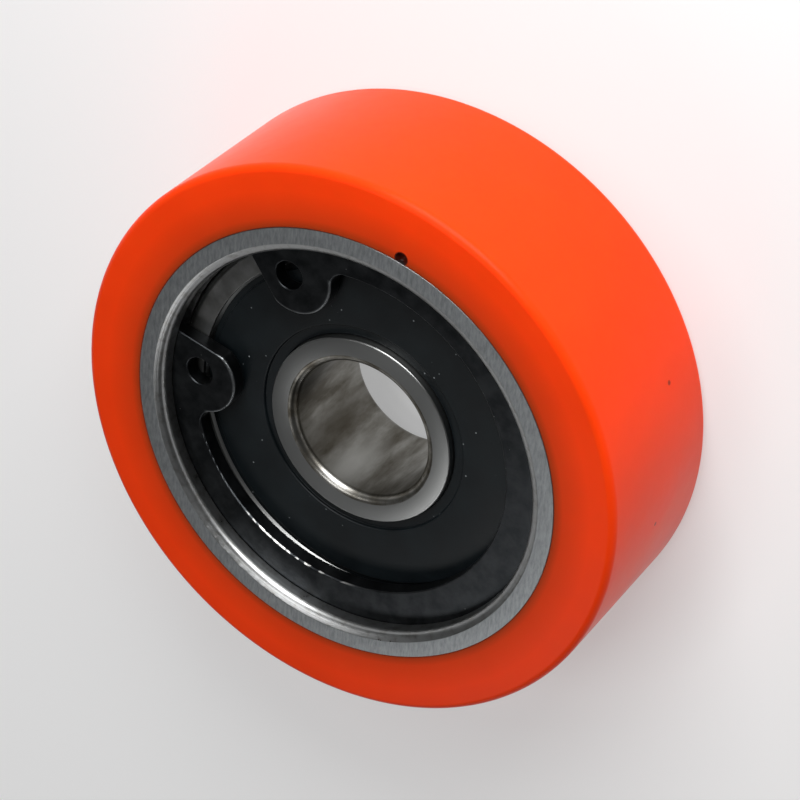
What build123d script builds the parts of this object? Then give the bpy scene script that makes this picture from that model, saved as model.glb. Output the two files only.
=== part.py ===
"""Polyurethane tracking wheel, lying on its rear side face.

A steel hub is turned to take one sealed deep-groove ball bearing, which sits against a shoulder at the
rear and is held at the front by an internal retaining ring. The polyurethane tyre is cast on the hub.

Millimetres. The origin is the wheel's centre, on its axis at half the tread width. +Z runs along the
axis towards the side with the retaining ring, and +X passes midway between the ring's two ends.
"""

from build123d import *
import math
import os

# Tyre and hub
WHEEL_DIAMETER = 60.0
WHEEL_WIDTH = 20.0
TYRE_EDGE_RADIUS = 0.8
TYRE_INNER_EDGE = 0.15
HUB_WALL = 2.6
HUB_EDGE_CHAMFER = 0.15
HUB_MOUTH_WIDTH = 0.9
HUB_MOUTH_DEPTH = 0.4
HUB_MOUTH_RADIUS = 0.8
FRONT_RECESS = 3.8
REAR_SHOULDER_DEPTH = 2.5
REAR_MOUTH_CHAMFER = 0.4

# Trapped bubble that the facing cut has opened, in the tyre beside the hub, on the front face
PIT_ANGLE = -69.0
PIT_RADIUS = 0.65
PIT_DEPTH = 0.75
PIT_OUTSIDE_HUB = 0.5

# Bearing envelope
BEARING_BORE = 15.0
BEARING_DIAMETER = 42.0
BEARING_WIDTH = 13.0
BORE_CORNER = 0.85
OUTER_CORNER = 0.7

# Balls and raceways
BALL_COUNT = 7
BALL_DIAMETER = 7.938
RACE_CLEARANCE = 0.05
INNER_CONFORMITY = 0.515
OUTER_CONFORMITY = 0.525
INNER_RACE_DEPTH = 1.62
OUTER_RACE_DEPTH = 1.42

# Seals and the ring ends that they run in
INNER_LAND_WALL = 2.75
INNER_LAND_LENGTH = 1.8
OUTER_MOUTH_WALL = 2.82
SEAL_GROOVE_DEPTH = 0.5
SEAL_GROOVE_WIDTH = 0.6
SEAL_RECESS = 0.45
SEAL_THICKNESS = 0.85
SEAL_BEAD_CLEARANCE = 0.05
SEAL_SHOULDER = 0.6
SEAL_STEP_WIDTH = 1.1
SEAL_STEP_DEPTH = 0.35
SEAL_LIP_CLEARANCE = 0.08
SEAL_EDGE_RADIUS = 0.15

# Cage of two pressed ribbons, riveted between the balls
CAGE_SHEET = 0.7
CAGE_POCKET_CLEARANCE = 0.1
CAGE_INNER_CLEARANCE = 0.4
CAGE_OUTER_CLEARANCE = 0.5
CAGE_INNER_BEND = 0.3
CAGE_OUTER_BEND = 0.4
RIVET_SHANK_DIAMETER = 1.2
RIVET_HEAD_DIAMETER = 2.0
RIVET_HEAD_HEIGHT = 0.45

# Retaining ring and its groove
RING_THICKNESS = 1.75
RING_GROOVE_DEPTH = 1.25
RING_GROOVE_PLAY = 0.05
RING_WIDTH_AT_BACK = 5.0
RING_TAPER = 0.58
RING_GAP_HALF_ANGLE = 20.0
RING_HOLE_DIAMETER = 3.0
RING_HOLE_INSET = 4.45
RING_HOLE_FROM_END = 3.09
RING_LUG_RADIUS = 4.0
RING_LUG_INSET = 4.65
RING_LUG_FROM_END = 3.66
RING_LUG_FILLET = 1.6
RING_CORNER = 0.6
RING_EDGE = 0.15

# Heights along the axis that several pieces share
FRONT_FACE = WHEEL_WIDTH / 2
REAR_FACE = -WHEEL_WIDTH / 2
BEARING_FRONT = FRONT_FACE - FRONT_RECESS
BEARING_MIDDLE = BEARING_FRONT - BEARING_WIDTH / 2
BEARING_REAR = BEARING_FRONT - BEARING_WIDTH

# Radii that several pieces share
SEAT_RADIUS = BEARING_DIAMETER / 2
HUB_RADIUS = SEAT_RADIUS + HUB_WALL
RING_RADIUS = SEAT_RADIUS + RING_GROOVE_DEPTH
BALL_RADIUS = BALL_DIAMETER / 2
PITCH_RADIUS = (BEARING_BORE + BEARING_DIAMETER) / 4
INNER_RACE_RADIUS = PITCH_RADIUS - BALL_RADIUS - RACE_CLEARANCE
OUTER_RACE_RADIUS = PITCH_RADIUS + BALL_RADIUS + RACE_CLEARANCE
INNER_SHOULDER_RADIUS = INNER_RACE_RADIUS + INNER_RACE_DEPTH
OUTER_SHOULDER_RADIUS = OUTER_RACE_RADIUS - OUTER_RACE_DEPTH
INNER_LAND_RADIUS = BEARING_BORE / 2 + INNER_LAND_WALL
OUTER_MOUTH_RADIUS = SEAT_RADIUS - OUTER_MOUTH_WALL
POCKET_STEP = 360 / BALL_COUNT

# Two millimetres or degrees that differ by less than this count as the same
SAME = 0.001


def closed(*points):
    """A flat section from its corners, as (radius, height)."""
    return make_face(Polyline(*points, close=True))


def rounded(section, radius, *corners):
    """The section with the corners nearest to the given points rounded."""
    for corner in corners:
        section = fillet(section.vertices().sort_by_distance((*corner, 0))[0], radius)
    return section


def cut_off(section, length, *corners):
    """The section with the corners nearest to the given points chamfered."""
    for corner in corners:
        section = chamfer(section.vertices().sort_by_distance((*corner, 0))[0], length)
    return section


def turned(section):
    """The solid that a (radius, height) section makes when it turns about the wheel's axis."""
    return revolve(Plane.XZ * section, Axis.Z)


def turned_in_bearing(section):
    """The same, for a section whose heights count from the middle of the bearing."""
    return Pos(0, 0, BEARING_MIDDLE) * turned(section)


def pit():
    """The small pit that a trapped bubble left beside the hub."""
    level = FRONT_FACE + PIT_RADIUS - PIT_DEPTH
    return Rot(0, 0, PIT_ANGLE) * Pos(HUB_RADIUS + PIT_OUTSIDE_HUB, 0, level) * Sphere(PIT_RADIUS)


def tyre():
    """The cast polyurethane band, faced flush with the hub on both sides."""
    outside = WHEEL_DIAMETER / 2
    inner_front, inner_rear = (HUB_RADIUS, FRONT_FACE), (HUB_RADIUS, REAR_FACE)
    outer_front, outer_rear = (outside, FRONT_FACE), (outside, REAR_FACE)
    section = closed(inner_rear, outer_rear, outer_front, inner_front)
    section = rounded(section, TYRE_EDGE_RADIUS, outer_front, outer_rear)
    section = rounded(section, TYRE_INNER_EDGE, inner_front, inner_rear)
    return turned(section) - pit()


def hub():
    """The turned sleeve: bearing seat, rear shoulder and the groove for the retaining ring."""
    rear_opening = SEAT_RADIUS - REAR_SHOULDER_DEPTH
    outer_rear, outer_front = (HUB_RADIUS, REAR_FACE), (HUB_RADIUS, FRONT_FACE)
    mouth_rear = (rear_opening, REAR_FACE)
    mouth_foot = (SEAT_RADIUS, FRONT_FACE - HUB_MOUTH_DEPTH)
    section = closed(
        mouth_rear,
        outer_rear,
        outer_front,
        (SEAT_RADIUS + HUB_MOUTH_WIDTH, FRONT_FACE),
        mouth_foot,
        (SEAT_RADIUS, BEARING_REAR),
        (rear_opening, BEARING_REAR),
    )
    section = cut_off(section, HUB_EDGE_CHAMFER, outer_front, outer_rear)
    section = cut_off(section, REAR_MOUTH_CHAMFER, mouth_rear)
    section = rounded(section, HUB_MOUTH_RADIUS, mouth_foot)
    groove_low = BEARING_FRONT - RING_GROOVE_PLAY
    groove_high = BEARING_FRONT + RING_THICKNESS + RING_GROOVE_PLAY
    section -= closed(
        (rear_opening, groove_low),
        (RING_RADIUS, groove_low),
        (RING_RADIUS, groove_high),
        (rear_opening, groove_high),
    )
    return turned(section)


def retaining_ring():
    """The stamped spring-steel ring: a band that narrows towards two lugs with plier holes."""
    whole = Circle(RING_RADIUS)
    inside = RING_RADIUS - RING_WIDTH_AT_BACK + RING_TAPER
    outline = whole - Pos(RING_TAPER, 0) * Circle(inside)
    lug_reach = RING_RADIUS - RING_LUG_INSET
    lug_angle = angle_past_end(RING_LUG_FROM_END, lug_reach)
    for side in (-1, 1):
        lug = Rot(0, 0, side * lug_angle) * Pos(lug_reach, 0) * Circle(RING_LUG_RADIUS)
        outline += lug & whole
    far = 2 * RING_RADIUS
    spread = far * math.tan(math.radians(RING_GAP_HALF_ANGLE))
    outline -= closed((0, 0), (far, -spread), (far, spread))

    lug_roots = [corner for corner in outline.vertices() if angle_from_gap(corner) > lug_angle]
    outline = fillet(lug_roots, RING_LUG_FILLET)
    ends = outline.vertices().filter_by(is_at_gap)
    outline = fillet(ends, RING_CORNER)
    hole_reach = RING_RADIUS - RING_HOLE_INSET
    hole_angle = angle_past_end(RING_HOLE_FROM_END, hole_reach)
    for side in (-1, 1):
        hole = Rot(0, 0, side * hole_angle) * Pos(hole_reach, 0)
        outline -= hole * Circle(RING_HOLE_DIAMETER / 2)

    ring = extrude(Pos(0, 0, BEARING_FRONT) * outline, RING_THICKNESS)
    inner_edges = ring.edges().filter_by(is_rolled_edge)
    return fillet(inner_edges, RING_EDGE)


def angle_past_end(distance, radius):
    """Degrees from the middle of the gap to a point on that radius, so far square to a cut end."""
    return RING_GAP_HALF_ANGLE + math.degrees(math.asin(distance / radius))


def angle_from_gap(point):
    """Degrees between a point of the ring's outline and the middle of the gap."""
    return abs(math.degrees(math.atan2(point.Y, point.X)))


def is_at_gap(corner):
    """Whether a corner of the ring's outline lies on one of the two cut ends."""
    return abs(angle_from_gap(corner) - RING_GAP_HALF_ANGLE) < SAME


def is_rolled_edge(edge):
    """Whether an edge of the ring goes round its front face or rear face inside the groove."""
    middle = edge.center()
    level = abs(edge.start_point().Z - edge.end_point().Z) < SAME
    return level and math.hypot(middle.X, middle.Y) < SEAT_RADIUS


def outer_ring():
    """The bearing's outer ring: raceway, two shoulders, and a groove at each end for a seal's bead."""
    half = BEARING_WIDTH / 2
    mouth = OUTER_MOUTH_RADIUS
    groove = mouth + SEAL_GROOVE_DEPTH
    groove_in = half - SEAL_RECESS - SEAL_THICKNESS
    groove_out = groove_in + SEAL_GROOVE_WIDTH
    profile = [
        (SEAT_RADIUS, half),
        (mouth, half),
        (mouth, groove_out),
        (groove, groove_out),
        (groove, groove_in),
        (OUTER_SHOULDER_RADIUS, groove_in),
    ]
    section = closed(*profile, *[(r, -z) for r, z in reversed(profile)])
    section = rounded(section, OUTER_CORNER, profile[0], (SEAT_RADIUS, -half))
    race = OUTER_CONFORMITY * BALL_DIAMETER
    section -= Pos(OUTER_RACE_RADIUS - race, 0) * Circle(race)
    return turned_in_bearing(section)


def inner_ring():
    """The bearing's inner ring: bore, raceway, two shoulders, and a ground land at each end."""
    half = BEARING_WIDTH / 2
    bore = BEARING_BORE / 2
    land = INNER_LAND_RADIUS
    step = half - INNER_LAND_LENGTH
    profile = [(bore, half), (land, half), (land, step), (INNER_SHOULDER_RADIUS, step)]
    section = closed(*profile, *[(r, -z) for r, z in reversed(profile)])
    section = rounded(section, BORE_CORNER, (bore, half), (bore, -half))
    section = rounded(section, RING_EDGE, (land, half), (land, -half))
    race = INNER_CONFORMITY * BALL_DIAMETER
    section -= Pos(INNER_RACE_RADIUS + race, 0) * Circle(race)
    return turned_in_bearing(section)


def ball(number):
    """One ball, midway between the raceways."""
    turn = Rot(0, 0, POCKET_STEP * (number - 1))
    return Pos(0, 0, BEARING_MIDDLE) * turn * Pos(PITCH_RADIUS, 0) * Sphere(BALL_RADIUS)


def seal(side):
    """A moulded seal: bead in the outer ring's groove, flat face, and a thinner lip at the land."""
    outside = BEARING_WIDTH / 2 - SEAL_RECESS
    inside = outside - SEAL_THICKNESS
    bead = OUTER_MOUTH_RADIUS + SEAL_GROOVE_DEPTH - SEAL_BEAD_CLEARANCE
    bead_top = inside + SEAL_GROOVE_WIDTH - SEAL_BEAD_CLEARANCE
    face = OUTER_MOUTH_RADIUS - SEAL_SHOULDER
    lip = INNER_LAND_RADIUS + SEAL_LIP_CLEARANCE
    step = lip + SEAL_STEP_WIDTH
    section = closed(
        (lip, inside),
        (bead, inside),
        (bead, bead_top),
        (face, bead_top),
        (face, outside),
        (step, outside),
        (step, outside - SEAL_STEP_DEPTH),
        (lip, outside - SEAL_STEP_DEPTH),
    )
    section = rounded(section, SEAL_EDGE_RADIUS, (face, outside), (step, outside))
    whole = turned(section)
    if side < 0:
        whole = mirror(whole, Plane.XY)
    return Pos(0, 0, BEARING_MIDDLE) * whole


def cage_half(side):
    """A pressed ribbon: a round pocket over each ball and a flat bridge between each two."""
    inside = BALL_RADIUS + CAGE_POCKET_CLEARANCE
    outside = inside + CAGE_SHEET
    quadrant = Pos(outside, outside) * Rectangle(2 * outside, 2 * outside)
    flange = Pos(PITCH_RADIUS / 2, CAGE_SHEET / 2) * Rectangle(PITCH_RADIUS, CAGE_SHEET)
    section = (Circle(outside) & quadrant) + flange - Circle(inside)
    bend_out = (math.sqrt(outside**2 - CAGE_SHEET**2), CAGE_SHEET)
    section = rounded(section, CAGE_OUTER_BEND, bend_out)
    section = rounded(section, CAGE_INNER_BEND, (inside, 0))
    cup = Pos(PITCH_RADIUS, 0) * turned(section)

    ribbon_in = INNER_SHOULDER_RADIUS + CAGE_INNER_CLEARANCE
    ribbon_out = OUTER_SHOULDER_RADIUS - CAGE_OUTER_CLEARANCE
    sector = ring_sector(ribbon_in, ribbon_out, POCKET_STEP / 2)
    link = cup & extrude(sector, outside)
    for edge in (-1, 1):
        link -= Rot(0, 0, edge * POCKET_STEP / 2) * Pos(PITCH_RADIUS, 0) * rivet_hole()
    ribbon = Part() + [Rot(0, 0, POCKET_STEP * turn) * link for turn in range(BALL_COUNT)]
    if side < 0:
        ribbon = mirror(ribbon, Plane.XY)
    return Pos(0, 0, BEARING_MIDDLE) * ribbon


def ring_sector(inside, outside, half_angle):
    """A flat piece of a ring between two radii, half_angle degrees to each side of +X."""
    far = 2 * outside
    spread = far * math.tan(math.radians(half_angle))
    wedge = closed((0, 0), (far, -spread), (far, spread))
    return (Circle(outside) - Circle(inside)) & wedge


def rivet_hole():
    """The hole through one ribbon for a rivet's shank, cut well past both of its faces."""
    length = 4 * CAGE_SHEET
    return Cylinder(RIVET_SHANK_DIAMETER / 2, length)


def rivet(number):
    """One rivet, closed with a low domed head on each side of the cage."""
    head = RIVET_HEAD_DIAMETER / 2
    top = CAGE_SHEET + RIVET_HEAD_HEIGHT
    dome = (head**2 + RIVET_HEAD_HEIGHT**2) / (2 * RIVET_HEAD_HEIGHT)
    blank = Pos(0, 0, top - dome) * Sphere(dome)
    upper = blank & Pos(0, 0, CAGE_SHEET + dome) * Box(2 * dome, 2 * dome, 2 * dome)
    shank = Cylinder(RIVET_SHANK_DIAMETER / 2, 2 * CAGE_SHEET)
    turn = Rot(0, 0, POCKET_STEP * (number - 0.5))
    return Pos(0, 0, BEARING_MIDDLE) * turn * Pos(PITCH_RADIUS, 0) * (shank + upper + mirror(upper, Plane.XY))


def save(shape, node):
    """Writes one piece, under the name of its node."""
    shape.label = node
    export_step(shape, f"parts/{node}.step")


os.makedirs("parts", exist_ok=True)
save(tyre(), "tyre")
save(hub(), "hub")
save(retaining_ring(), "retaining_ring")
save(outer_ring(), "outer_ring")
save(inner_ring(), "inner_ring")
save(seal(1), "front_seal")
save(seal(-1), "rear_seal")
save(cage_half(1), "cage_front_half")
save(cage_half(-1), "cage_rear_half")
for number in range(1, BALL_COUNT + 1):
    save(ball(number), f"ball_{number}")
    save(rivet(number), f"cage_rivet_{number}")
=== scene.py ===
"""Looks of the polyurethane tracking wheel, built piece by piece in the order of its assembly."""

import math
import random

import bmesh
import bpy
from mathutils import Matrix, Vector


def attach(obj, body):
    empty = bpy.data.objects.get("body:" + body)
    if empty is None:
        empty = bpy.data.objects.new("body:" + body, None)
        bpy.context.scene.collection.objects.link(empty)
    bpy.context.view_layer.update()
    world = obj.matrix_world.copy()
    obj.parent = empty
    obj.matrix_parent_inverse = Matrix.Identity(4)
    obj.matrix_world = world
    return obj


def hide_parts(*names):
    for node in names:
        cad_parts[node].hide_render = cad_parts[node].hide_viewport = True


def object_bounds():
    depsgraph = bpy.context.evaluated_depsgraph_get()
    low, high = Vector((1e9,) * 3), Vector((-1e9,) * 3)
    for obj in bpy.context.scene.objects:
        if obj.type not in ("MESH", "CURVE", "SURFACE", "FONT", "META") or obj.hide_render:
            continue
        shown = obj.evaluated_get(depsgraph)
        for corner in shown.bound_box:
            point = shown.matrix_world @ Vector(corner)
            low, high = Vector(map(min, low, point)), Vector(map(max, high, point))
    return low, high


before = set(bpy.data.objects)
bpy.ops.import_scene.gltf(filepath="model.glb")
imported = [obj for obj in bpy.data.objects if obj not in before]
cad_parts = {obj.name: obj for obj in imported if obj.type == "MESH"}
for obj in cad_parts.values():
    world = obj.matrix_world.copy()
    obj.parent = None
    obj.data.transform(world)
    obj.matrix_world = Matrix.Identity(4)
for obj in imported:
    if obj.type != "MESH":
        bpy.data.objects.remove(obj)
cad_low, cad_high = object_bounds()


# Inner ring of the bearing: through-hardened chrome steel, turned, then ground on its bore, ends
# and raceway. The bore has been slid on and off an axle, which has smeared and stained it. It also
# carries a painted streak of reflected light, a painted highlight and a painted dark reflection.

MM = 0.001
RING_STEPS = 288
ARC_STEPS = 8
SHARP_ANGLE = math.radians(25)


def rounded(corners):
    """The points of a closed (radius, height) section in mm. A corner's third number rounds it."""
    points = []
    for i, corner in enumerate(corners):
        here = Vector(corner[:2])
        radius = corner[2] if len(corner) > 2 else 0
        if not radius:
            points.append(here)
            continue
        back = (Vector(corners[i - 1][:2]) - here).normalized()
        on = (Vector(corners[(i + 1) % len(corners)][:2]) - here).normalized()
        half = back.angle(on) / 2
        centre = here + (back + on).normalized() * radius / math.sin(half)
        start = here + back * radius / math.tan(half) - centre
        sweep = start.angle_signed(here + on * radius / math.tan(half) - centre)
        for step in range(ARC_STEPS + 1):
            turn = Matrix.Rotation(-sweep * step / ARC_STEPS, 2)
            points.append(centre + turn @ start)
    return points


def raceway(pitch, reach, groove, half_width):
    """The points of a ball groove, from above the bearing's middle to below it."""
    middle = pitch + reach - math.copysign(groove, reach)
    sweep = math.asin(half_width / groove)
    angles = [sweep * (1 - step / ARC_STEPS) for step in range(2 * ARC_STEPS + 1)]
    return [(middle + math.copysign(groove, reach) * math.cos(a), groove * math.sin(a)) for a in angles]


def placed(name, data):
    """A new object of the scene that holds the data."""
    holder = bpy.data.objects.new(name, data)
    bpy.context.scene.collection.objects.link(holder)
    return holder


def turned(name, section, lift=0, steps=RING_STEPS, wobble=None):
    """A piece with its section turned about the wheel's axis. wobble may shift a point of it, in mm."""
    mesh = bmesh.new()
    rings = []
    for step in range(steps):
        angle = 2 * math.pi * step / steps
        ring = []
        for number, (radius, height) in enumerate(section):
            shift = wobble(number, angle) if wobble else 0
            reach = (radius + shift) * MM
            place = (reach * math.cos(angle), reach * math.sin(angle), (height + lift) * MM)
            ring.append(mesh.verts.new(place))
        rings.append(ring)
    count = len(section)
    for here, there in zip(rings, rings[1:] + rings[:1]):
        for k in range(count):
            mesh.faces.new((here[k], there[k], there[(k + 1) % count], here[(k + 1) % count]))
    bmesh.ops.recalc_face_normals(mesh, faces=mesh.faces)
    data = bpy.data.meshes.new(name)
    mesh.to_mesh(data)
    mesh.free()
    data.shade_smooth()
    data.set_sharp_from_angle(angle=SHARP_ANGLE)
    return placed(name, data)


def colour(code):
    """The linear colour of an sRGB hex value."""
    parts = [int(code[i:i + 2], 16) / 255 for i in (1, 3, 5)]
    linear = [c / 12.92 if c <= 0.04045 else ((c + 0.055) / 1.055) ** 2.4 for c in parts]
    return (*linear, 1.0)


def add(tree, kind, settings=None, links=None, stops=None):
    """Adds a shader node with its settings, its links to other nodes' outputs and a ramp's stops."""
    node = tree.nodes.new("ShaderNode" + kind)
    for key, value in (settings or {}).items():
        if isinstance(key, int) or key in node.inputs:
            node.inputs[key].default_value = value
        else:
            setattr(node, key, value)
    for key, source in (links or {}).items():
        tree.links.new(source, node.inputs[key])
    if stops:
        while len(node.color_ramp.elements) < len(stops):
            node.color_ramp.elements.new(0.5)
        for element, (place, tone) in zip(node.color_ramp.elements, stops):
            element.position = place
            element.color = tone
    return node


def finish_of(name, **settings):
    """A new material, with its shader and the place of each point in mm."""
    material = bpy.data.materials.new(name)
    material.use_nodes = True
    tree = material.node_tree
    tree.nodes.clear()
    shader = add(tree, "BsdfPrincipled", settings)
    out = add(tree, "OutputMaterial", links={"Surface": shader.outputs[0]})
    out.is_active_output = True
    place = add(tree, "TexCoord").outputs["Object"]
    in_mm = add(tree, "VectorMath", {"operation": "SCALE", "Scale": 1 / MM}, {0: place})
    return material, tree, shader, in_mm.outputs["Vector"]


def round_and_along(tree, in_mm):
    """The distance from the wheel's axis and the height along it, in mm."""
    parts = add(tree, "SeparateXYZ", links={0: in_mm})
    flat = add(tree, "VectorMath", {"operation": "MULTIPLY", 1: (1, 1, 0)}, {0: in_mm})
    radius = add(tree, "VectorMath", {"operation": "LENGTH"}, {0: flat.outputs["Vector"]})
    return radius.outputs["Value"], parts.outputs["Z"]


def fading(tree, point, middle, core, rim, inside=1.0, outside=0.0):
    """Fades from one value within the core of a ball round the middle to another past its rim."""
    away = add(tree, "VectorMath", {"operation": "DISTANCE", 1: middle}, {0: point})
    value = add(
        tree, "MapRange", {"From Min": core, "From Max": rim, "To Min": inside, "To Max": outside},
        {"Value": away.outputs["Value"]},
    )
    return value.outputs[0]


BEARING_MIDDLE = -0.3
BORE_RADIUS = 7.5
LAND_RADIUS = 10.25
INNER_SHOULDER = 11.85
LAND_LENGTH = 1.8
BORE_CORNER = 0.85
EDGE_BREAK = 0.15
HALF_WIDTH = 6.5
PITCH_RADIUS = 14.25
BALL_REACH = 4.019
INNER_GROOVE = 4.088
GROOVE_HALF_INNER = 3.28

# Ground chrome steel: the wheel that ground it went round the axis, so the end face is bright
# towards and away from the eye and dim at both sides, like a turned disc.
ground_steel, tree, shader, in_mm = finish_of("ground_bearing_steel", **{
    "Base Color": colour("#A3A4A3"), "Metallic": 1.0, "Roughness": 0.3, "Anisotropic": 0.45,
    "Anisotropic Rotation": 0.25,
})
radius, height = round_and_along(tree, in_mm)
round_axis = add(tree, "Tangent", {"direction_type": "RADIAL", "axis": "Z"})
tree.links.new(round_axis.outputs[0], shader.inputs["Tangent"])
# The grit's marks are about 0.02 mm apart and drawn 0.12 mm apart, so that they show.
GRIND_PITCH = 0.12
rings_apart = add(tree, "CombineXYZ", links={0: radius, 1: height})
scratches = add(
    tree, "TexNoise", {"Scale": 1 / GRIND_PITCH, "Detail": 3.0}, {"Vector": rings_apart.outputs[0]}
)
rough = add(tree, "MapRange", {"To Min": 0.26, "To Max": 0.36}, {"Value": scratches.outputs[0]})
tree.links.new(rough.outputs[0], shader.inputs["Roughness"])
bump = add(tree, "Bump", {"Strength": 0.2, "Distance": 0.00002}, {"Height": scratches.outputs[0]})
tree.links.new(bump.outputs[0], shader.inputs["Normal"])

# Smeared steel: a cloudy brown grey, with a brown smear that dulls it. A bright patch is a painted
# streak of reflected light and a painted highlight on the rim. A dark patch at the mouth is a painted
# dark reflection. All are drawn out along the axis.
SMEAR_SIZE = 2.2
ALONG_AXIS = 0.3
smeared_steel_with_painted_light, tree, shader, in_mm = finish_of(
    "smeared_bore_steel_with_painted_light", Metallic=1.0, Roughness=0.35, **{"Base Color": colour("#8F8B83")}
)
drawn_out = add(tree, "VectorMath", {"operation": "MULTIPLY", 1: (1, 1, ALONG_AXIS)}, {0: in_mm})
smears = add(
    tree, "TexNoise", {"Scale": 1 / SMEAR_SIZE, "Detail": 6.0, "Roughness": 0.6},
    {"Vector": drawn_out.outputs[0]},
)
tone = add(
    tree, "ValToRGB", links={0: smears.outputs[0]},
    stops=[(0.38, colour("#625D54")), (0.52, colour("#827F78")), (0.66, colour("#A19F9A"))],
)
# The middles of the three, with the height shortened as above, and how far each reaches.
BROWN_SMEAR = (2.4, 7.1, 0)
# Painted light: a bright streak of reflection down the bore and a highlight on its rim.
PAINTED_BRIGHT_STREAK = (-1.8, 7.3, 1.0)
# Painted dark reflection at the bore's mouth.
PAINTED_DARK_REFLECTION = (7.5, 2.4, 1.8)
SMEAR_CORE = 0.6
SMEAR_RIM = 2.6
mixed = tone.outputs[0]
# Lays the brown stain, the painted bright streak and the painted dark reflection over the grey.
for middle, code in ((BROWN_SMEAR, "#4E483E"), (PAINTED_BRIGHT_STREAK, "#C4C3BF"), (PAINTED_DARK_REFLECTION, "#24221E")):
    inside = fading(tree, drawn_out.outputs[0], middle, SMEAR_CORE, SMEAR_RIM, 0.8)
    stain_and_painted_light = add(tree, "Mix", {"data_type": "RGBA", 7: colour(code)}, {0: inside, 6: mixed})
    mixed = stain_and_painted_light.outputs[2]
tree.links.new(mixed, shader.inputs["Base Color"])
rough = add(tree, "MapRange", {"To Min": 0.45, "To Max": 0.2}, {"Value": smears.outputs[0]})
tree.links.new(rough.outputs[0], shader.inputs["Roughness"])

land_low = HALF_WIDTH - LAND_LENGTH
upper = [
    (BORE_RADIUS, HALF_WIDTH, BORE_CORNER), (LAND_RADIUS, HALF_WIDTH, EDGE_BREAK), (LAND_RADIUS, land_low),
    (INNER_SHOULDER, land_low, EDGE_BREAK),
]
groove = raceway(PITCH_RADIUS, -BALL_REACH, INNER_GROOVE, GROOVE_HALF_INNER)
lower = [(corner[0], -corner[1], *corner[2:]) for corner in reversed(upper)]
inner_ring = turned("inner_ring_ground", rounded(upper + groove + lower), BEARING_MIDDLE)
inner_ring.data.materials.append(ground_steel)
inner_ring.data.materials.append(smeared_steel_with_painted_light)
# The smeared steel goes up the bore's rounded corner, almost to the end face. There its darker tone
# is a painted dark reflection, and it carries the painted highlight onto the corner too.
smeared_and_painted_to = (BORE_RADIUS + BORE_CORNER * 0.95) * MM
for face in inner_ring.data.polygons:
    face.material_index = int(face.center.xy.length < smeared_and_painted_to)
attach(inner_ring, "axle_side")
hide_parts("inner_ring")


# Balls, the two pressed ribbons of their cage and the seven rivets. They are shut in behind the
# seals: polished chrome steel balls, and a cage of bright low-carbon strip.

# Polished chrome steel: a near mirror with a faint haze.
HAZE_SIZE = 1.5
polished_steel, tree, shader, in_mm = finish_of(
    "polished_ball_steel", Metallic=1.0, Roughness=0.08, **{"Base Color": colour("#C8C8C8")}
)
haze = add(tree, "TexNoise", {"Scale": 1 / HAZE_SIZE, "Detail": 3.0}, {"Vector": in_mm})
rough = add(tree, "MapRange", {"To Min": 0.05, "To Max": 0.14}, {"Value": haze.outputs[0]})
tree.links.new(rough.outputs[0], shader.inputs["Roughness"])

# Pressed bright strip: pale and satin, with straight rolling marks. They are about 0.03 mm apart and
# drawn 0.15 mm apart, so that they show.
ROLLING_MARKS = 0.15
pressed_strip, tree, shader, in_mm = finish_of(
    "pressed_bright_strip", Metallic=1.0, Roughness=0.34, **{"Base Color": colour("#B2B0AA")}
)
rolled = add(tree, "VectorMath", {"operation": "MULTIPLY", 1: (1, 0.12, 1)}, {0: in_mm})
marks = add(tree, "TexNoise", {"Scale": 1 / ROLLING_MARKS, "Detail": 2.0}, {"Vector": rolled.outputs[0]})
rough = add(tree, "MapRange", {"To Min": 0.26, "To Max": 0.44}, {"Value": marks.outputs[0]})
tree.links.new(rough.outputs[0], shader.inputs["Roughness"])
bump = add(tree, "Bump", {"Strength": 0.3, "Distance": 0.00003}, {"Height": marks.outputs[0]})
tree.links.new(bump.outputs[0], shader.inputs["Normal"])


def dress(node, material):
    """Gives a piece that keeps its own shape its finish."""
    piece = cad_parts[node]
    piece.data.materials.clear()
    piece.data.materials.append(material)


for number in range(1, 8):
    dress(f"ball_{number}", polished_steel)
    dress(f"cage_rivet_{number}", pressed_strip)
for node in ("cage_front_half", "cage_rear_half"):
    dress(node, pressed_strip)


# Outer ring of the bearing: the same steel. Only a short arc of its end face shows, in the gap of the
# retaining ring, and there it is painted darker as painted shade.

SEAT_RADIUS = 21.0
MOUTH_RADIUS = 18.18
OUTER_SHOULDER = 16.85
OUTER_CORNER = 0.7
OUTER_GROOVE = 4.167
GROOVE_HALF_OUTER = 3.17
SEAL_GROOVE = 18.68
SEAL_GROOVE_TOP = 5.8
SEAL_INSIDE = 5.2
LEAD_IN = 0.25
LEAD_IN_EDGE = 0.05

# Shade-darkened steel: the ground steel painted a darker, even grey as painted shade, mottled a little.
MOTTLE_SIZE = 2.0
shade_darkened_steel, tree, shader, in_mm = finish_of(
    "shade_darkened_bearing_steel", Metallic=1.0, Roughness=0.4, **{"Base Color": colour("#7A7A78")}
)
mottle = add(tree, "TexNoise", {"Scale": 1 / MOTTLE_SIZE, "Detail": 3.0}, {"Vector": in_mm})
tone = add(
    tree, "ValToRGB", links={0: mottle.outputs[0]},
    stops=[(0.35, colour("#6A6A68")), (0.65, colour("#858584"))],
)
tree.links.new(tone.outputs[0], shader.inputs["Base Color"])

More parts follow.
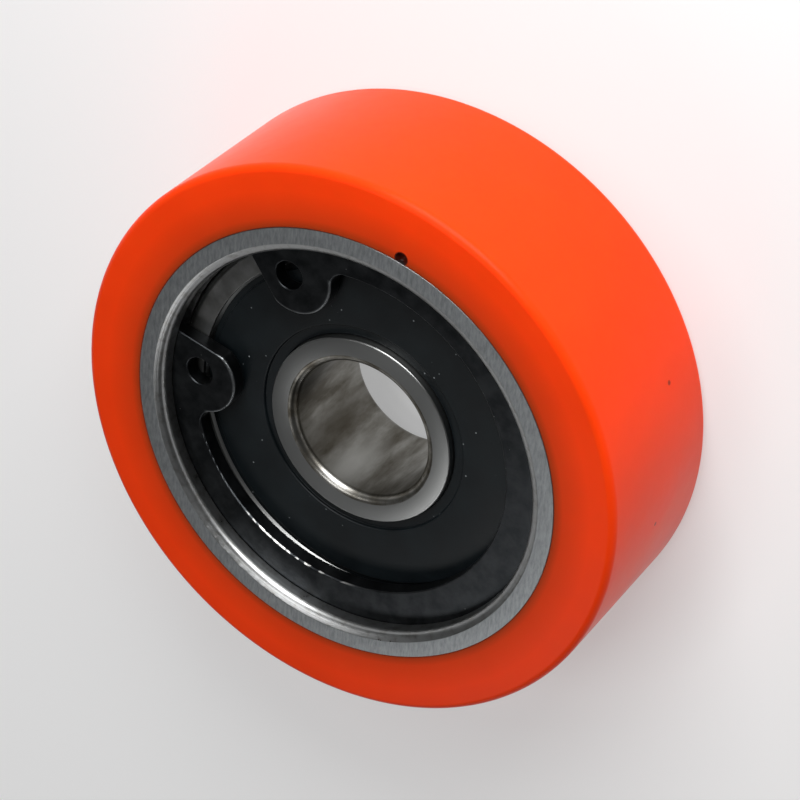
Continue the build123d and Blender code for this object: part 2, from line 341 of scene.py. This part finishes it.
upper = [
    (OUTER_SHOULDER, SEAL_INSIDE), (SEAL_GROOVE, SEAL_INSIDE), (SEAL_GROOVE, SEAL_GROOVE_TOP),
    (MOUTH_RADIUS, SEAL_GROOVE_TOP), (MOUTH_RADIUS + LEAD_IN, SEAL_GROOVE_TOP + LEAD_IN),
    (MOUTH_RADIUS + LEAD_IN, HALF_WIDTH, LEAD_IN_EDGE), (SEAT_RADIUS, HALF_WIDTH, OUTER_CORNER),
]
lower = [(corner[0], -corner[1], *corner[2:]) for corner in reversed(upper)]
groove = raceway(PITCH_RADIUS, BALL_REACH, OUTER_GROOVE, GROOVE_HALF_OUTER)
section = rounded(upper + lower + list(reversed(groove)))
outer_ring = turned("outer_ring_ground", section, BEARING_MIDDLE)
outer_ring.data.materials.append(shade_darkened_steel)
outer_ring.data.materials.append(ground_steel)
# The lead-in that the seal snaps over keeps the plain ground steel, without the painted shade, and
# shines out from under the retaining ring.
for face in outer_ring.data.polygons:
    out = face.center.xy.length / MM - MOUTH_RADIUS
    face.material_index = int(0 < out < LEAD_IN and abs(face.normal.z) > 0.5)
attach(outer_ring, "wheel")
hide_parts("outer_ring")


# Seals: moulded nitrile rubber, blue-black and satin, one snapped into each end of the outer ring.
# The lip is thinner than the face, so a shallow step runs round it, and dust sits on the rubber.

BEAD_RADIUS = 18.63
BEAD_TOP = 5.75
FACE_RADIUS = 17.58
SEAL_OUTSIDE = 6.05
STEP_RADIUS = 11.43
STEP_DEPTH = 0.35
LIP_RADIUS = 10.33
SEAL_CORNER = 0.1
SEAL_EDGE = 0.15
DUST_SPACING = 1.1


def dust_grains(tree, in_mm, core, rim):
    """A soft round grain of dust in each cell, sized in shares of the spacing, and a number for each."""
    cells = add(tree, "TexVoronoi", {"Scale": 1 / DUST_SPACING}, {"Vector": in_mm})
    grain = add(
        tree, "MapRange", {"From Min": core, "From Max": rim, "To Min": 1.0, "To Max": 0.0},
        {"Value": cells.outputs["Distance"]},
    )
    pick = add(tree, "SeparateColor", links={0: cells.outputs["Color"]})
    return grain.outputs[0], pick.outputs[0]


# Moulded nitrile: near black, satin and a little cloudy, so the specks of dust stand out on it. The
# mould's grain is about 0.05 mm and drawn 0.18 mm, so that it shows.
CLOUD_SIZE = 4.0
MOULD_GRAIN = 0.18
nitrile, tree, shader, in_mm = finish_of(
    "moulded_nitrile", Roughness=0.42, **{"Base Color": colour("#0A1014"), "Specular IOR Level": 0.3}
)
cloudy = add(tree, "TexNoise", {"Scale": 1 / CLOUD_SIZE, "Detail": 3.0}, {"Vector": in_mm})
tone = add(
    tree, "ValToRGB", links={0: cloudy.outputs[0]},
    stops=[(0.35, colour("#070C0F")), (0.65, colour("#0C1316"))],
)
speck, pick = dust_grains(tree, in_mm, 0.045, 0.085)
# The dust lies thickest beside one lug of the retaining ring, where fewer cells are bare.
DUSTY_PLACE = (10.4, -12.6, SEAL_OUTSIDE + BEARING_MIDDLE)
bare_share = fading(tree, in_mm, DUSTY_PLACE, 1.5, 5.0, 0.1, 0.6)
some = add(tree, "Math", {"operation": "GREATER_THAN"}, {0: pick, 1: bare_share})
dust = add(tree, "Math", {"operation": "MULTIPLY"}, {0: speck, 1: some.outputs[0]})
dusty = add(
    tree, "Mix", {"data_type": "RGBA", 7: colour("#8C9294")}, {0: dust.outputs[0], 6: tone.outputs[0]}
)
tree.links.new(dusty.outputs[2], shader.inputs["Base Color"])
grain = add(tree, "TexNoise", {"Scale": 1 / MOULD_GRAIN, "Detail": 2.0}, {"Vector": in_mm})
rough = add(tree, "MapRange", {"To Min": 0.34, "To Max": 0.55}, {"Value": cloudy.outputs[0]})
tree.links.new(rough.outputs[0], shader.inputs["Roughness"])
bump = add(tree, "Bump", {"Strength": 0.25, "Distance": 0.00003}, {"Height": grain.outputs[0]})
tree.links.new(bump.outputs[0], shader.inputs["Normal"])

seal_section = [
    (LIP_RADIUS, SEAL_INSIDE), (BEAD_RADIUS, SEAL_INSIDE, SEAL_CORNER), (BEAD_RADIUS, BEAD_TOP, SEAL_CORNER),
    (FACE_RADIUS, BEAD_TOP), (FACE_RADIUS, SEAL_OUTSIDE, SEAL_EDGE), (STEP_RADIUS, SEAL_OUTSIDE, SEAL_EDGE),
    (STEP_RADIUS, SEAL_OUTSIDE - STEP_DEPTH, SEAL_CORNER),
    (LIP_RADIUS, SEAL_OUTSIDE - STEP_DEPTH, SEAL_CORNER),
]
for node, side in (("front_seal", 1), ("rear_seal", -1)):
    section = [(r, side * z) for r, z in rounded(seal_section)]
    seal = turned(f"{node}_rubber", section, BEARING_MIDDLE)
    seal.data.materials.append(nitrile)
    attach(seal, "wheel")
    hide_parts(node)


# Hub: a sleeve of plain carbon steel, bored for the bearing, with a shoulder behind it and a groove
# in front. Both faces were ground with the cast tyre, which left straight scratches right across.

HUB_RADIUS = 23.6
FRONT_FACE = 10.0
SHOULDER_HEIGHT = -6.8
REAR_OPENING = 18.5
MOUTH_WIDTH = 0.9
MOUTH_DEPTH = 0.4
MOUTH_FOOT = 0.8
MOUTH_EDGE = 0.3
HUB_EDGE = 0.02
GROOVE_EDGE = 0.08
OPENING_EDGE = 0.4
RING_GROOVE = 22.25
RING_BOTTOM = 6.2
RING_TOP = 7.95
RING_PLAY = 0.05
HUB_STEPS = 720

# Face-ground steel: an even grey, finely hatched one way. The grinding marks are about 0.05 mm wide
# and drawn 0.28 mm wide, so that they show.
HATCH_ANGLE = math.radians(57)
HATCH_PITCH = 0.28
face_ground, tree, shader, in_mm = finish_of(
    "face_ground_steel", Metallic=1.0, Roughness=0.45, **{"Base Color": colour("#9DA0A2")}
)
swung = add(tree, "VectorRotate", {"Angle": HATCH_ANGLE}, {"Vector": in_mm})
drawn_out = add(tree, "VectorMath", {"operation": "MULTIPLY", 1: (0.25, 1, 0)}, {0: swung.outputs[0]})
hatch = add(
    tree, "TexNoise", {"Scale": 1 / HATCH_PITCH, "Detail": 4.0, "Roughness": 0.65},
    {"Vector": drawn_out.outputs[0]},
)
tone = add(
    tree, "ValToRGB", links={0: hatch.outputs[0]},
    stops=[(0.3, colour("#868A8B")), (0.5, colour("#9B9EA0")), (0.7, colour("#ACAFB1"))],
)
tree.links.new(tone.outputs[0], shader.inputs["Base Color"])
rough = add(tree, "MapRange", {"To Min": 0.4, "To Max": 0.5}, {"Value": hatch.outputs[0]})
tree.links.new(rough.outputs[0], shader.inputs["Roughness"])
bump = add(tree, "Bump", {"Strength": 0.25, "Distance": 0.00003}, {"Height": hatch.outputs[0]})
tree.links.new(bump.outputs[0], shader.inputs["Normal"])

# Turned steel: brighter, with the tool's feed marks round it and a blotchy polish, so the mouth glints.
FEED_PITCH = 0.16
BLOTCH_SIZE = 0.9
turned_steel, tree, shader, in_mm = finish_of(
    "turned_carbon_steel", Metallic=1.0, Roughness=0.3, **{"Base Color": colour("#A9AAAA")}
)
radius, height = round_and_along(tree, in_mm)
along = add(tree, "CombineXYZ", links={0: radius, 1: height})
feed = add(tree, "TexNoise", {"Scale": 1 / FEED_PITCH, "Detail": 2.0}, {"Vector": along.outputs[0]})
blotch = add(
    tree, "TexNoise", {"Scale": 1 / BLOTCH_SIZE, "Detail": 3.0, "Roughness": 0.6}, {"Vector": in_mm}
)
tone = add(
    tree, "ValToRGB", links={0: blotch.outputs[0]},
    stops=[(0.3, colour("#959491")), (0.5, colour("#A9AAAA"))],
)
tree.links.new(tone.outputs[0], shader.inputs["Base Color"])
rough = add(tree, "MapRange", {"To Min": 0.24, "To Max": 0.36}, {"Value": blotch.outputs[0]})
tree.links.new(rough.outputs[0], shader.inputs["Roughness"])
bump = add(tree, "Bump", {"Strength": 0.5, "Distance": 0.00003}, {"Height": feed.outputs[0]})
tree.links.new(bump.outputs[0], shader.inputs["Normal"])

section = rounded([
    (REAR_OPENING, SHOULDER_HEIGHT), (SEAT_RADIUS, SHOULDER_HEIGHT),
    (SEAT_RADIUS, RING_BOTTOM - RING_PLAY), (RING_GROOVE, RING_BOTTOM - RING_PLAY),
    (RING_GROOVE, RING_TOP + RING_PLAY), (SEAT_RADIUS, RING_TOP + RING_PLAY, GROOVE_EDGE),
    (SEAT_RADIUS, FRONT_FACE - MOUTH_DEPTH, MOUTH_FOOT),
    (SEAT_RADIUS + MOUTH_WIDTH, FRONT_FACE, MOUTH_EDGE), (HUB_RADIUS, FRONT_FACE, HUB_EDGE),
    (HUB_RADIUS, -FRONT_FACE, HUB_EDGE), (REAR_OPENING, -FRONT_FACE, OPENING_EDGE),
])
# The tool chattered along part of the mouth, so its outer edge is a little ragged there.
CHATTER_MIDDLE = math.radians(88)
CHATTER_REACH = math.radians(50)
CHATTER_DEPTH = 0.04
CHATTER_WIDTH = 0.4
chatter = random.Random(7)
bite = [chatter.uniform(-CHATTER_DEPTH, CHATTER_DEPTH) for _ in range(HUB_STEPS)]
edge_points = {
    k for k, (r, z) in enumerate(section)
    if z > FRONT_FACE - 0.1 and abs(r - SEAT_RADIUS - MOUTH_WIDTH) < CHATTER_WIDTH
}


def tool_chatter(point, angle):
    """How far the tool's chatter has shifted a point of the mouth's outer edge."""
    fade = 1 - abs(angle - CHATTER_MIDDLE) / CHATTER_REACH
    if point not in edge_points or fade < 0:
        return 0
    return fade * bite[round(angle / (2 * math.pi) * HUB_STEPS) % HUB_STEPS]


hub = turned("hub_turned", section, steps=HUB_STEPS, wobble=tool_chatter)
hub.data.materials.append(turned_steel)
hub.data.materials.append(face_ground)
for face in hub.data.polygons:
    flat = abs(face.normal.z) > 0.995
    face.material_index = int(flat and abs(face.center.z) > (FRONT_FACE - MOUTH_DEPTH) * MM)
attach(hub, "wheel")
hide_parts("hub")


# Tyre: orange polyurethane, cast round the primed hub and machined on its tread and both sides. A
# trapped bubble has left a small pit beside the hub.

TYRE_RADIUS = 30.0
TYRE_EDGE = 0.8
TYRE_STEPS = 360
BOND_EDGE = 0.12
PIT_ANGLE = math.radians(-69)
PIT_RADIUS = 0.65
PIT_OUTSIDE = 0.5
PIT_DEPTH = 0.75
pit_place = Vector((
    (HUB_RADIUS + PIT_OUTSIDE) * math.cos(PIT_ANGLE),
    (HUB_RADIUS + PIT_OUTSIDE) * math.sin(PIT_ANGLE),
    FRONT_FACE + PIT_RADIUS - PIT_DEPTH,
))

# Cast polyurethane: saturated orange with a soft shine, and slightly translucent, so its shade stays
# warm. A thin dark primer line runs round the hub, and painted shade darkens the face towards it.
# Its colour drifts a little over some 7 mm, and its surface swells faintly over 3.5 mm.
STREAK_SIZE = 7.0
SWELL_SIZE = 3.5
polyurethane, tree, shader, in_mm = finish_of(
    "cast_polyurethane", Roughness=0.3, **{
        "Base Color": colour("#EC3C0A"), "Specular IOR Level": 0.06, "Sheen Weight": 0.08,
        "Sheen Roughness": 0.35, "Subsurface Weight": 0.25, "Subsurface Scale": 0.0015,
        "Subsurface Radius": (1.0, 0.25, 0.08),
    }
)
radius, height = round_and_along(tree, in_mm)
outward = add(tree, "MapRange", {"From Min": HUB_RADIUS, "From Max": TYRE_RADIUS}, {"Value": radius})
# A dark primer line at the hub, then painted shade that lightens out to about 4 mm from it.
bond_line_and_shade = add(
    tree, "ValToRGB", links={0: outward.outputs[0]},
    stops=[
        (0.0, colour("#5A2010")), (0.03, colour("#A03410")), (0.16, colour("#CF390E")),
        (0.6, colour("#EC3C0A")),
    ],
)
streaks = add(tree, "TexNoise", {"Scale": 1 / STREAK_SIZE, "Detail": 3.0}, {"Vector": in_mm})
shade = add(tree, "MapRange", {"To Min": 0.9, "To Max": 1.06}, {"Value": streaks.outputs[0]})
tinted = add(tree, "VectorMath", {"operation": "SCALE"}, {0: bond_line_and_shade.outputs[0], "Scale": shade.outputs[0]})
mixed = tinted.outputs[0]
# Two dark specks on the tread: how far round in degrees, the height and the radius.
SPECKS = ((-124.3, -3.7, 0.3), (-150.6, 0.1, 0.26))
for turn, level, size in SPECKS:
    angle = math.radians(turn)
    spot = (TYRE_RADIUS * math.cos(angle), TYRE_RADIUS * math.sin(angle), level)
    inside = fading(tree, in_mm, spot, size * 0.6, size, 0.8)
    spotted = add(tree, "Mix", {"data_type": "RGBA", 7: colour("#5A1206")}, {0: inside, 6: mixed})
    mixed = spotted.outputs[2]
# The pit and its brim are darkened to a near-black red.
inside = fading(tree, in_mm, pit_place, PIT_RADIUS * 1.05, PIT_RADIUS * 1.2, 0.9)
pitted = add(tree, "Mix", {"data_type": "RGBA", 7: colour("#2A0A08")}, {0: inside, 6: mixed})
tree.links.new(pitted.outputs[2], shader.inputs["Base Color"])
swell = add(tree, "TexNoise", {"Scale": 1 / SWELL_SIZE, "Detail": 2.0}, {"Vector": in_mm})
rough = add(tree, "MapRange", {"To Min": 0.25, "To Max": 0.36}, {"Value": streaks.outputs[0]})
tree.links.new(rough.outputs[0], shader.inputs["Roughness"])
bump = add(tree, "Bump", {"Strength": 0.3, "Distance": 0.00012}, {"Height": swell.outputs[0]})
tree.links.new(bump.outputs[0], shader.inputs["Normal"])

section = rounded([
    (HUB_RADIUS, -FRONT_FACE, BOND_EDGE), (TYRE_RADIUS, -FRONT_FACE, TYRE_EDGE),
    (TYRE_RADIUS, FRONT_FACE, TYRE_EDGE), (HUB_RADIUS, FRONT_FACE, BOND_EDGE),
])
tyre = turned("tyre_cast", section, steps=TYRE_STEPS)
# The bubble's ball is cut out of the band.
ball = bmesh.new()
place = Matrix.Translation(pit_place * MM)
bmesh.ops.create_icosphere(ball, subdivisions=4, radius=PIT_RADIUS * MM, matrix=place)
bubble_mesh = bpy.data.meshes.new("bubble")
ball.to_mesh(bubble_mesh)
ball.free()
bubble = placed("bubble", bubble_mesh)
cut = tyre.modifiers.new("pit", "BOOLEAN")
cut.object = bubble
cut.operation = "DIFFERENCE"
cut.solver = "EXACT"
bpy.context.view_layer.update()
band = bpy.data.meshes.new_from_object(tyre.evaluated_get(bpy.context.evaluated_depsgraph_get()))
tyre.modifiers.clear()
tyre.data = band
bpy.data.objects.remove(bubble)
band.shade_smooth()
band.set_sharp_from_angle(angle=SHARP_ANGLE)
band.materials.clear()
band.materials.append(polyurethane)
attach(tyre, "wheel")
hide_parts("tyre")


# Retaining ring: stamped from spring steel with two lugs for the pliers, tumbled so that its edges are
# round, hardened, blackened and oiled. It springs into the hub's groove and holds the bearing.

# Black oxide: cloudy dark grey and satin, with painted highlights along some edges and dust on its face.
# Its grain is about 0.03 mm and drawn 0.12 mm, so that it shows.
OXIDE_CLOUD = 1.8
OXIDE_GRAIN = 0.12
black_oxide, tree, shader, in_mm = finish_of(
    "black_oxide_spring_steel", Metallic=1.0, Roughness=0.3, **{"Base Color": colour("#343638")}
)
cloudy = add(
    tree, "TexNoise", {"Scale": 1 / OXIDE_CLOUD, "Detail": 4.0, "Roughness": 0.6}, {"Vector": in_mm}
)
tone = add(
    tree, "ValToRGB", links={0: cloudy.outputs[0]},
    stops=[(0.35, colour("#2D2F31")), (0.65, colour("#3C3E40"))],
)
# A painted highlight: a pale bare-steel tone in dashes along one stretch of the front edge of the
# band's inside, where that edge catches the light.
RING_INSIDE = 17.88
RING_SHIFT = 0.58
FRONT_EDGE = 7.9
HIGHLIGHT_WIDTH = 0.16
HIGHLIGHT_MIDDLE = (-4.6, 17.2, FRONT_EDGE)
DASH_LENGTH = 0.9
from_middle = add(tree, "VectorMath", {"operation": "SUBTRACT", 1: (RING_SHIFT, 0, 0)}, {0: in_mm})
reach, level = round_and_along(tree, from_middle.outputs[0])
edge_place = add(tree, "CombineXYZ", links={0: reach, 1: level})
near_edge = fading(tree, edge_place.outputs[0], (RING_INSIDE, FRONT_EDGE, 0), HIGHLIGHT_WIDTH / 2, HIGHLIGHT_WIDTH)
breaks = add(tree, "TexNoise", {"Scale": 1 / DASH_LENGTH, "Detail": 1.0}, {"Vector": in_mm})
broken_up = add(
    tree, "MapRange", {"From Min": 0.45, "From Max": 0.55, "To Min": 0.0, "To Max": 1.0},
    {"Value": breaks.outputs[0]},
)
stretch = fading(tree, in_mm, HIGHLIGHT_MIDDLE, 5.0, 7.5)
dashes = add(tree, "Math", {"operation": "MULTIPLY"}, {0: broken_up.outputs[0], 1: stretch})
painted_highlight = add(tree, "Math", {"operation": "MULTIPLY"}, {0: near_edge, 1: dashes.outputs[0]})
highlit = add(
    tree, "Mix", {"data_type": "RGBA", 7: colour("#B4B4B2")}, {0: painted_highlight.outputs[0], 6: tone.outputs[0]}
)
# A painted highlight runs along the round front edge of both lugs, in a paler grey. The lug at -Y is
# folded over to the one at +Y, so one place serves both.
LUG_RADIUS = 4.0
LUG_MIDDLE = (14.93, 9.33, 0)
LUG_ROOT = 17.0
parts = add(tree, "SeparateXYZ", links={0: in_mm})
either_side = add(tree, "Math", {"operation": "ABSOLUTE"}, {0: parts.outputs[1]})
folded = add(tree, "CombineXYZ", links={0: parts.outputs[0], 1: either_side.outputs[0], 2: parts.outputs[2]})
from_lug = add(tree, "VectorMath", {"operation": "SUBTRACT", 1: LUG_MIDDLE}, {0: folded.outputs[0]})
reach, level = round_and_along(tree, from_lug.outputs[0])
lug_place = add(tree, "CombineXYZ", links={0: reach, 1: level})
near_rim = fading(tree, lug_place.outputs[0], (LUG_RADIUS, FRONT_EDGE, 0), 0.1, 0.3, 0.8)
radius, height = round_and_along(tree, in_mm)
off_band = add(
    tree, "MapRange", {"From Min": LUG_ROOT, "From Max": LUG_ROOT + 0.5, "To Min": 1.0, "To Max": 0.0},
    {"Value": radius},
)
lug_highlight = add(tree, "Math", {"operation": "MULTIPLY"}, {0: near_rim, 1: off_band.outputs[0]})
lug_highlit = add(
    tree, "Mix", {"data_type": "RGBA", 7: colour("#85888A")}, {0: lug_highlight.outputs[0], 6: highlit.outputs[2]}
)
BARE_SHARE = 0.75
speck, pick = dust_grains(tree, in_mm, 0.03, 0.055)
some = add(tree, "Math", {"operation": "GREATER_THAN", 1: BARE_SHARE}, {0: pick})
dust = add(tree, "Math", {"operation": "MULTIPLY"}, {0: speck, 1: some.outputs[0]})
dusty = add(
    tree, "Mix", {"data_type": "RGBA", 7: colour("#9A9C9C")}, {0: dust.outputs[0], 6: lug_highlit.outputs[2]}
)
tree.links.new(dusty.outputs[2], shader.inputs["Base Color"])
rough = add(tree, "MapRange", {"To Min": 0.24, "To Max": 0.42}, {"Value": cloudy.outputs[0]})
tree.links.new(rough.outputs[0], shader.inputs["Roughness"])
grain = add(tree, "TexNoise", {"Scale": 1 / OXIDE_GRAIN, "Detail": 2.0}, {"Vector": in_mm})
bump = add(tree, "Bump", {"Strength": 0.3, "Distance": 0.00002}, {"Height": grain.outputs[0]})
tree.links.new(bump.outputs[0], shader.inputs["Normal"])
dress("retaining_ring", black_oxide)


# Studio: a pale table that sweeps up at its rim, a soft light low over the tread, two small ones
# higher up that light the hub's mouth, a weak one opposite that fades across the flat faces, and a
# dim pale room.

FLAT_RADIUS = 1.2
SWEEP_RADIUS = 1.0
SWEEP_STEPS = 12
TABLE_STEPS = 72
profile = [(0, 0)]
for step in range(SWEEP_STEPS + 1):
    turn = math.radians(90 * step / SWEEP_STEPS)
    profile.append((FLAT_RADIUS + SWEEP_RADIUS * math.sin(turn), SWEEP_RADIUS * (1 - math.cos(turn))))
table_mesh = bmesh.new()
corners = [table_mesh.verts.new((out, 0, cad_low.z + up)) for out, up in profile]
edges = [table_mesh.edges.new(pair) for pair in zip(corners, corners[1:])]
bmesh.ops.spin(
    table_mesh, geom=corners + edges, cent=(0, 0, 0), axis=(0, 0, 1), angle=2 * math.pi,
    steps=TABLE_STEPS,
)
bmesh.ops.remove_doubles(table_mesh, verts=table_mesh.verts, dist=0.0001)
table_data = bpy.data.meshes.new("table")
table_mesh.to_mesh(table_data)
table_mesh.free()
table_data.shade_smooth()
table = placed("table", table_data)
# Matt pale paint with a faint glow of its own, so the shadows stay light.
table_paint, tree, shader, in_mm = finish_of("pale_table", Roughness=0.8, **{
    "Specular IOR Level": 0.0, "Base Color": colour("#C4C4C4"), "Emission Color": colour("#FFFFFF"),
    "Emission Strength": 0.36,
})
table_data.materials.append(table_paint)


def soft_light(name, azimuth, elevation, distance, size, power):
    """A square soft light that faces the wheel. Azimuth counts from +X towards +Y."""
    lamp = bpy.data.lights.new(name, "AREA")
    lamp.shape = "SQUARE"
    lamp.size = size
    lamp.energy = power
    holder = placed(name, lamp)
    a, e = math.radians(azimuth), math.radians(elevation)
    way = Vector((math.cos(a) * math.cos(e), math.sin(a) * math.cos(e), math.sin(e)))
    holder.location = way * distance
    holder.rotation_mode = "QUATERNION"
    holder.rotation_quaternion = way.to_track_quat("Z", "Y")
    holder.visible_camera = False


soft_light("key", -66, 22, 0.24, 0.17, 0.8)
soft_light("bridge", -50, 50, 0.35, 0.09, 0.12)
soft_light("top", -6, 74, 0.35, 0.12, 0.2)
soft_light("fill", 113, 46, 0.3, 0.09, 0.068)

world = bpy.data.worlds.new("room")
world.use_nodes = True
background = world.node_tree.nodes["Background"]
background.inputs["Color"].default_value = colour("#F2F4F6")
background.inputs["Strength"].default_value = 0.05
bpy.context.scene.world = world
bpy.context.scene.view_settings.view_transform = "Standard"


# Camera: the photograph looks down on the front at 47 degrees, rolled so that the tread's near side
# is at the upper right.

CAMERA_PLACE = Vector((-0.0058, -0.1919, 0.2071))
CAMERA_AIM = Vector((-0.0004, -0.0006, -0.0006))
CAMERA_ROLL = math.radians(-131.7)
LENS = 126.7
camera_data = bpy.data.cameras.new("camera")
camera_data.lens = LENS
camera = placed("camera", camera_data)
camera.location = CAMERA_PLACE
camera.rotation_mode = "QUATERNION"
level = (CAMERA_AIM - CAMERA_PLACE).to_track_quat("-Z", "Y")
camera.rotation_quaternion = level @ Matrix.Rotation(CAMERA_ROLL, 3, "Z").to_quaternion()
bpy.context.scene.camera = camera
